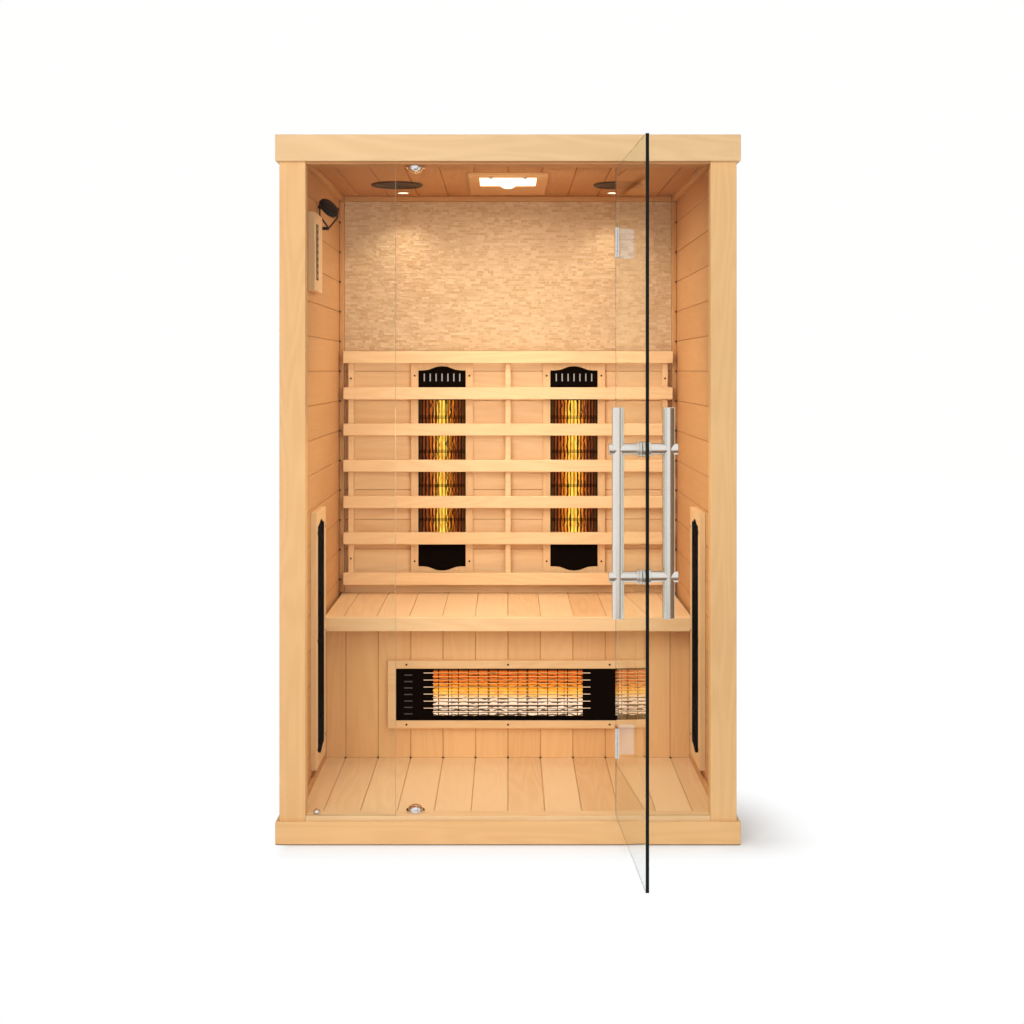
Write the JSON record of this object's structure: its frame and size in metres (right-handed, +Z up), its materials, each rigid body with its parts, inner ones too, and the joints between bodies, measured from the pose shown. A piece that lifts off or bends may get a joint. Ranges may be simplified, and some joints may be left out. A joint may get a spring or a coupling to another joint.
{
  "type": "infrared sauna cabin",
  "caption": "Wooden infrared sauna cabin with a frameless glass front, a swinging glass door, a plank bench, a slatted backrest, glowing heaters and a stone mosaic panel.",
  "frame": {"origin": "on the ground under the cabin, at the middle of its footprint without the open door", "axes": "+Z up, +Y to the back wall, +X to the right seen from the front; the door hangs on the right and stands open"},
  "size_m": [1.245, 1.68, 1.9],
  "materials": {
    "pale_wood": "pale honey softwood, planed and unvarnished",
    "warm_wood": "warm honey softwood planks, planed and unvarnished",
    "stone": "small split beige stone chips",
    "glass": "clear toughened glass with dark green edges",
    "chrome": "polished",
    "brushed_steel": "satin brushed",
    "black_metal": "matt black heat-proof paint",
    "glowing_quartz": "glowing quartz tube",
    "lamp_lens": "opal, lit",
    "black_plastic": "satin black",
    "aluminium": "plain sheet"
  },
  "bodies": {
    "cabin": {"floor_panel": "pale_wood", "roof_panel": "warm_wood", "left_wall": "warm_wood", "right_wall": "warm_wood", "back_wall": "warm_wood", "left_post": "pale_wood", "right_post": "pale_wood", "base_front_board": "pale_wood", "base_left_board": "pale_wood", "base_right_board": "pale_wood", "crown_front_board": "pale_wood", "crown_left_board": "pale_wood", "crown_right_board": "pale_wood", "left_fixed_glass": "glass", "right_fixed_glass": "glass", "upper_hinge_fixed_leaf": "chrome", "lower_hinge_fixed_leaf": "chrome", "upper_door_stop": "chrome", "lower_door_stop": "chrome", "bench_seat": "pale_wood", "bench_front_rail": "pale_wood", "bench_apron": "pale_wood", "backrest_frame": "pale_wood", "backrest_slat_2": "pale_wood", "backrest_slat_3": "pale_wood", "backrest_slat_4": "pale_wood", "backrest_slat_5": "pale_wood", "backrest_slat_6": "pale_wood", "stone_panel": "stone", "back_left_heater_frame": "pale_wood", "back_left_heater_case": "black_metal", "back_left_heater_element": "glowing_quartz", "back_right_heater_frame": "pale_wood", "back_right_heater_case": "black_metal", "back_right_heater_element": "glowing_quartz", "left_side_heater_frame": "pale_wood", "left_side_heater_case": "black_metal", "left_side_heater_element": "glowing_quartz", "right_side_heater_frame": "pale_wood", "right_side_heater_case": "black_metal", "right_side_heater_element": "glowing_quartz", "bench_heater_frame": "pale_wood", "bench_heater_case": "black_metal", "bench_heater_element": "glowing_quartz", "ceiling_light_frame": "warm_wood", "ceiling_light_lens": "lamp_lens", "left_speaker": "black_plastic", "right_speaker": "black_plastic", "left_downlight": "lamp_lens", "right_downlight": "lamp_lens", "control_panel": "pale_wood", "reading_lamp_bracket": "black_plastic", "power_unit": "aluminium", "power_inlet": "black_plastic"},
    "door": {"door_glass": "glass", "upper_hinge_door_leaf": "chrome", "lower_hinge_door_leaf": "chrome", "outer_handle": "brushed_steel", "inner_handle": "brushed_steel"},
    "lamp_head": {"reading_lamp_head": "black_plastic"}
  },
  "joints": [
    {"name": "door_swing", "type": "hinge", "parent": "cabin", "child": "door", "pos_m": [0.301, -0.537, 0.9445], "axis": [0, 0, 1], "range_deg": [-92.5, 17.5]},
    {"name": "reading_lamp_tilt", "type": "hinge", "parent": "cabin", "child": "lamp_head", "pos_m": [-0.534, -0.09, 1.752], "axis": [0.5592, 0.829, 0], "range_deg": [-20, 40]}
  ]
}
